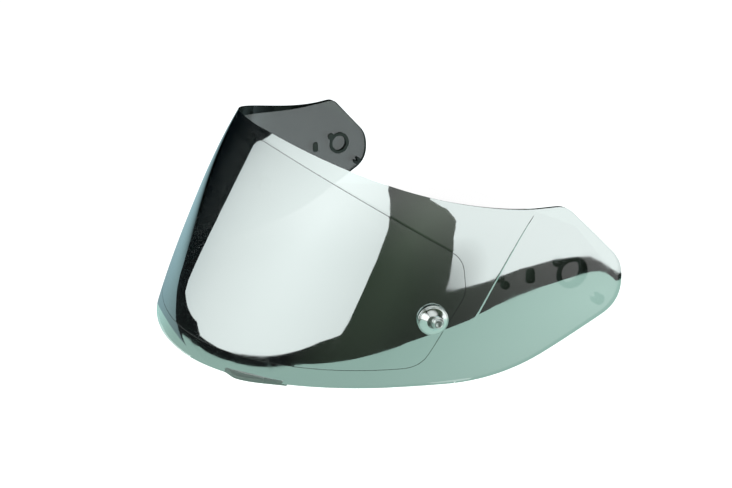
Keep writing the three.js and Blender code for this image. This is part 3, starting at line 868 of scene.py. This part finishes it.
# Anti-fog insert. A clear, springy sheet that is cut flat and bowed into the pocket; the open
# slots in its ends snap over the grooves of the two eccentric pins, which press it on its bead.
seat_gap = 0.0003
bead_outer = pocket_floor + seat_gap
bead_thickness = 0.0005
insert_outer = bead_outer + bead_thickness + seat_gap
insert_thickness, insert_rounding = 0.0012, 0.00025
pocket_play = 0.0008
sheet_edge_mark = 1
slot_radius, slot_length = 0.0032, 0.016
insert_ribs = loop_ribs(pocket_play)
bm = curved_panel(insert_ribs, insert_ribs, loop_shares, insert_outer,
                  insert_outer + insert_thickness)
for face in bm.faces:
    face.material_index = sheet_edge_mark if face.material_index == rim_mark else 0
soften(bm, sharp_edges(bm), insert_rounding)
clear_sheet = moulded(
    "clear_sheet", colour=(0.62, 0.70, 0.67), fleck=(0.68, 0.76, 0.73), roughness=(0.04, 0.11),
    grain_size=0.012, grain_depth=0.00001, alpha=0.07, ior=1.49)
clear_edge = moulded(
    "clear_edge", colour=(0.10, 0.13, 0.12), fleck=(0.15, 0.18, 0.17), roughness=(0.2, 0.4),
    grain_size=0.0008, grain_depth=0.00002, alpha=0.5, ior=1.49)
insert = finished(bm, "insert_sheet", [clear_sheet, clear_edge])
for place in post_frames.values():
    bm = bmesh.new()
    bmesh.ops.create_circle(bm, cap_ends=True, segments=48, radius=slot_radius,
                            matrix=Matrix.Translation((0, 0, -insert_outer + overrun)))
    for v in bm.verts:
        if v.co.x > 0:
            v.co.x += slot_length
    grown = bmesh.ops.extrude_face_region(bm, geom=bm.faces[:], use_keep_orig=True)["geom"]
    bmesh.ops.translate(bm, verts=[g for g in grown if isinstance(g, bmesh.types.BMVert)],
                        vec=(0, 0, -insert_thickness - 2 * overrun))
    turn_outwards(bm)
    bmesh.ops.transform(bm, verts=bm.verts, matrix=place)
    mark_faces(bm, sheet_edge_mark)
    combine(insert, bm, "DIFFERENCE")
smooth(insert, sharp_angle=30)
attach(insert, "shield")
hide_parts("antifog_insert")

# Bead. A thin strip of soft silicone on the insert's outer face, in a closed loop that passes
# ahead of the pins. It seals the still air between insert and shield.
bead_width, bead_rounding, bead_inset = 0.002, 0.009, 0.0022
pin_flange_radius, pin_clearance = 0.0042, 0.0006
bead_margin = pocket_play + bead_inset
bead_rear = post_place[0] - pin_flange_radius - pin_clearance + bead_margin
bead_corners = [pocket_low, (bead_rear, pocket_foot[1]),
                (bead_rear, pocket_rear_top[1] + (pocket_rear_top[0] - bead_rear) * pocket_slope),
                pocket_high]
bead_roundings = [0, bead_rounding, bead_rounding, 0]
bm = loop_strip(bead_corners, bead_roundings, (bead_margin, bead_margin + bead_width), bead_outer,
                bead_thickness)
soft_silicone = moulded(
    "soft_silicone", colour=(0.42, 0.46, 0.44), fleck=(0.52, 0.56, 0.54), roughness=(0.4, 0.6),
    grain_size=0.0005, grain_depth=0.00003, alpha=0.06, ior=1.41)
bead = finished(bm, "silicone_bead", [soft_silicone])
smooth(bead, sharp_angle=60)
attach(bead, "shield")
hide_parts("insert_bead")


# Tear-off posts. Turned and chromed metal buttons, one outside each wing: a flange, a dished
# shoulder, and an off-centre collar and stem with a hex socket, round which tear-off sheets hook.
def arc(centre, radius, start, end, steps=5):
    """Points of an arc in a turned profile, with its angles in degrees."""
    angles = [math.radians(start + (end - start) * k / steps) for k in range(steps + 1)]
    return [(centre[0] + radius * math.cos(a), centre[1] + radius * math.sin(a)) for a in angles]


def low_corner(radius, height, rounding, steps=5):
    return arc((radius - rounding, height + rounding), rounding, -90, 0, steps)


def high_corner(radius, height, rounding, start=0, steps=5):
    return arc((radius - rounding, height - rounding), rounding, start, 90, steps)


disc_foot = 0.0012
disc_radius, disc_rim, disc_rounding = 0.0063, 0.0009, 0.0003
rim_top = disc_foot + disc_rim
cone_top_radius, cone_height, crown_rounding = 0.0029, 0.002, 0.0002
cone_top = rim_top + cone_height
collar_radius, collar_height = 0.0026, 0.0014
collar_top = cone_top + collar_height
stem_radius, stem_height, post_offset = 0.0019, 0.0015, 0.0015
stem_rounding, stem_chamfer = 0.0003, 0.0002
stem_top = collar_top + stem_height
socket_radius, socket_depth = 0.0013, 0.0018
drill_radius, drill_depth = 0.0006, 0.0026
shoulder_radius, shoulder_rounding, shoulder_step = 0.0058, 0.00015, 0.0001
rim_groove_outer, rim_groove_inner, rim_groove_depth = 0.00595, 0.00582, 0.00035
screw_bore, screw_reach, screw_play = 0.001, 0.0024, 0.0003
dish_share, cone_share, dish_power, dish_steps = 0.72, 0.28, 1.5, 14


def dish(share):
    """The shoulder is a little hollow between its own rim and the crown."""
    radius = shoulder_radius - shoulder_step + (cone_top_radius - shoulder_radius) * share
    return (radius, rim_top + cone_height * (share ** dish_power * dish_share
                                             + cone_share * share))


disc_profile = [(0, disc_foot)] + low_corner(disc_radius, disc_foot, disc_rounding)
disc_profile += high_corner(disc_radius, rim_top - shoulder_step, disc_rounding)
disc_profile += [(rim_groove_outer, rim_top - rim_groove_depth),
                 (rim_groove_inner, rim_top - rim_groove_depth)]
disc_profile += arc((shoulder_radius - shoulder_rounding, rim_top - shoulder_step),
                    shoulder_rounding, 0, 60, steps=3)
disc_profile += [dish(k / dish_steps) for k in range(1, dish_steps)]
disc_profile += high_corner(cone_top_radius, cone_top, crown_rounding, start=30) + [(0, cone_top)]
stem_profile = [(0, rim_top), (collar_radius, rim_top)]
stem_profile += high_corner(collar_radius, collar_top, stem_rounding)
stem_profile += [(stem_radius + stem_chamfer, collar_top), (stem_radius, collar_top + stem_chamfer)]
stem_profile += high_corner(stem_radius, stem_top, stem_rounding)
stem_profile += [(socket_radius + stem_chamfer, stem_top), (socket_radius, stem_top - stem_chamfer),
                 (0, stem_top - stem_chamfer)]
waves_per_scale = 3.2  # rings that a wave pattern of scale 1 has in a metre
mark_shade = 0.86


def turned_metal(name, colour, roughness, place, ring_spacing, ring_depth):
    """Turned metal: fine tool rings about the post, small marks and uneven gloss."""
    material, tree = new_material(name)
    where = add_node(tree, "TexCoord").outputs["Object"]
    on_post = add_node(tree, "Mapping", {
        "Vector": where, "Location": place.to_translation(), "Rotation": place.to_euler()},
        vector_type="TEXTURE").outputs["Vector"]
    rings = add_node(tree, "TexWave", {
        "Vector": on_post, "Scale": 1 / (waves_per_scale * ring_spacing), "Distortion": 0.6},
        wave_type="RINGS", rings_direction="Z").outputs["Fac"]
    marks = noise(tree, where, scale=900, detail=5)
    surface(tree, "BsdfPrincipled", {
        "Metallic": 1, "Roughness": remap(tree, marks, (0.35, 0.75), roughness),
        "Base Color": colour_between(tree, marks, colour, [c * mark_shade for c in colour]),
        "Normal": bump(tree, rings, strength=0.35, distance=ring_depth)})
    return material


for side, place in post_frames.items():
    chrome = turned_metal(f"{side}_post_chrome", colour=(0.80, 0.87, 0.85), roughness=(0.14, 0.25),
                          place=place, ring_spacing=0.00025, ring_depth=0.000003)
    button = finished(turned(disc_profile), f"{side}_tear_off_post", [chrome])
    combine(button, turned(stem_profile, offset=post_offset), "UNION")
    bm = bmesh.new()
    bmesh.ops.create_cone(bm, cap_ends=True, segments=6, radius1=socket_radius,
                          radius2=socket_radius, depth=socket_depth * 2,
                          matrix=Matrix.Translation((post_offset, 0, stem_top)))
    combine(button, bm, "DIFFERENCE")
    bore(button, drill_radius, stem_top - drill_depth, stem_top, offset=post_offset, steps=32)
    bore(button, screw_bore, 0, disc_foot + screw_reach + screw_play, steps=48)
    button.data.transform(place)
    smooth(button, sharp_angle=35)
    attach(button, f"{side}_post")
    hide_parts(f"{side}_post_button")

# Post washers. Black rubber rings under the buttons, which keep the metal off the mirror film
# and the rain out of the hole.
washer_foot, washer_thickness = 0.0003, 0.0006
washer_radius, washer_bore, washer_rounding = 0.0054, 0.003, 0.00018
washer_top = washer_foot + washer_thickness
rubber = moulded(
    "washer_rubber", colour=(0.012, 0.013, 0.013), fleck=(0.022, 0.023, 0.022),
    roughness=(0.6, 0.85), grain_size=0.0003, grain_depth=0.00003, ior=1.5)
for side, place in post_frames.items():
    profile = [(washer_bore, washer_foot + washer_thickness / 2)]
    for radius, height, start in (
            (washer_bore + washer_rounding, washer_foot + washer_rounding, 180),
            (washer_radius - washer_rounding, washer_foot + washer_rounding, 270),
            (washer_radius - washer_rounding, washer_top - washer_rounding, 0),
            (washer_bore + washer_rounding, washer_top - washer_rounding, 90)):
        profile += arc((radius, height), washer_rounding, start, start + 90, steps=4)
    profile.append(profile[0])
    washer = finished(turned(profile, place), f"{side}_washer_ring", [rubber])
    smooth(washer, sharp_angle=40)
    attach(washer, f"{side}_post")
    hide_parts(f"{side}_post_washer")

# Insert pins. Black moulded pins inside the wings, each with an off-centre groove that the
# insert's slot fits, and a notched head by which the fingers turn it to tighten the insert.
hub_radius, hub_chamfer = 0.0027, 0.0002
flange_top, flange_foot = -bead_outer, -bead_outer - bead_thickness
flange_rounding = 0.0001
groove_radius, pin_offset = 0.0022, 0.0007
groove_foot = -insert_outer - insert_thickness - seat_gap
pin_head_radius, pin_head = 0.0046, 0.0012
head_rounding, head_chamfer = 0.0003, 0.0001
head_foot = groove_foot - pin_head
screw_head_radius, screw_head = 0.0016, 0.0007
pin_profile = [(0, flange_foot)]
pin_profile += low_corner(pin_flange_radius, flange_foot, flange_rounding, steps=3)
pin_profile += high_corner(pin_flange_radius, flange_top, flange_rounding, steps=3)
pin_profile += [(hub_radius, flange_top), (hub_radius, washer_top - hub_chamfer),
                (hub_radius - hub_chamfer, washer_top), (0, washer_top)]
head_profile = [(0, head_foot)] + low_corner(pin_head_radius, head_foot, head_rounding)
head_profile += [(pin_head_radius, groove_foot - head_chamfer),
                 (pin_head_radius - head_chamfer, groove_foot), (0, groove_foot)]
notch_count, notch_radius, notch_set_out = 10, 0.0007, 0.55
pin_plastic = moulded(
    "pin_plastic", colour=(0.014, 0.015, 0.015), fleck=(0.022, 0.023, 0.023),
    roughness=(0.32, 0.5), grain_size=0.0004, grain_depth=0.00002, ior=1.5)
for side, place in post_frames.items():
    pin = finished(turned(pin_profile), f"{side}_eccentric_pin", [pin_plastic])
    groove = turned(barrel(groove_radius, groove_foot - pin_head / 2,
                           flange_foot + bead_thickness / 2), offset=-pin_offset)
    combine(pin, groove, "UNION")
    combine(pin, turned(head_profile), "UNION")
    for k in range(notch_count):
        notch = Matrix.Rotation(2 * math.pi * k / notch_count, 4, "Z") @ Matrix.Translation(
            (pin_head_radius + notch_radius * notch_set_out, 0, 0))
        bore(pin, notch_radius, head_foot - overrun, groove_foot + head_chamfer, place=notch,
             steps=24)
    bore(pin, screw_bore, head_foot - overrun, washer_top + overrun, steps=48)
    bore(pin, screw_head_radius + screw_play, head_foot - overrun,
         head_foot + screw_head + screw_play, steps=48)
    pin.data.transform(place)
    smooth(pin, sharp_angle=35)
    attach(pin, f"{side}_post")
    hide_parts(f"{side}_insert_pin")

# Pin screws. Small slotted steel screws that pass through each pin from the inside into its
# post, so that pin and post turn together.
thread_radius, thread_depth, thread_pitch = 0.0007, 0.00012, 0.0004
screw_top, screw_rounding, point_chamfer = disc_foot + screw_reach, 0.0002, 0.0002
slot_width, slot_depth = 0.0005, 0.0004
screw_profile = [(0, head_foot)]
screw_profile += low_corner(screw_head_radius, head_foot, screw_rounding, steps=4)
screw_profile += [(screw_head_radius, head_foot + screw_head),
                  (thread_radius, head_foot + screw_head)]
height = head_foot + screw_head + thread_pitch
while height < screw_top - thread_pitch:
    screw_profile += [(thread_radius, height),
                      (thread_radius - thread_depth, height + thread_pitch / 2)]
    height += thread_pitch
screw_profile += [(thread_radius - point_chamfer, screw_top), (0, screw_top)]
for side, place in post_frames.items():
    steel = turned_metal(f"{side}_screw_steel", colour=(0.50, 0.51, 0.51), roughness=(0.25, 0.42),
                         place=place, ring_spacing=0.0002, ring_depth=0.000004)
    screw = finished(turned(screw_profile, steps=48), f"{side}_slotted_screw", [steel])
    bm = bmesh.new()
    bmesh.ops.create_cube(bm, size=1, matrix=(
        Matrix.Translation((0, 0, head_foot))
        @ Matrix.Diagonal((screw_head_radius * 3, slot_width, slot_depth * 2, 1))))
    combine(screw, bm, "DIFFERENCE")
    screw.data.transform(place)
    smooth(screw, sharp_angle=30)
    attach(screw, f"{side}_post")
    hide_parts(f"{side}_pin_screw")

# Shade. The table under the visor gets little light behind the face; it brightens to the rear
# and under the wings. The patch ends at the far wing's foot, where the near wing hides it from
# the camera, and in the open to the rear, where it has almost faded.
shade_lift = 0.0001
shade_least = 0.04
shade_middle = (0, -0.045, 0)
shade_reach = (0.19, 0.2, 1)
shade_full = 0.66  # share of the way in at which the shade is deepest
shade_steps = 80
foot_height = 0.002  # the foot of the far wing ends where the edge has risen by this
foot_gap, gap_start, gap_blend = 0.004, 0.06, 0.03  # light comes in under the far wing
near_side, far_side = [], []
for k in range(shade_steps + 1):
    chart = shield_foot.at(shield_foot.run[-1] * k / shade_steps)
    foot = on_wall(chart, wall / 2)
    foot = camera_place + (foot - camera_place) * camera_place.z / (camera_place.z - foot.z)
    near_side.append(foot)
    if chart[1] < lower_edge + foot_height:
        clear = foot_gap * smooth_step((chart[0] - gap_start) / gap_blend)
        far_side.append(on_wall((-chart[0], chart[1]), wall / 2 - clear))
rear_places = ((0, 0.165), (-0.09, 0.15), (-0.15, 0.08), (-0.16, 0))
rear_side = [Vector((x, y, 0)) for x, y in rear_places]
bm = bmesh.new()
bm.faces.new([bm.verts.new((p.x, p.y, shade_lift))
              for p in near_side + rear_side + far_side[:0:-1]])
shaded, tree = new_material("table_shade")
ball = fall_off(tree, shade_middle, shade_reach)
light = remap(tree, ball, (0, shade_full), (1.0, shade_least), easing="SMOOTHSTEP")
surface(tree, "Emission", {"Strength": light})
under = finished(bm, "table_shade", [shaded])
under.visible_glossy = False
under.visible_diffuse = False
under.visible_shadow = False
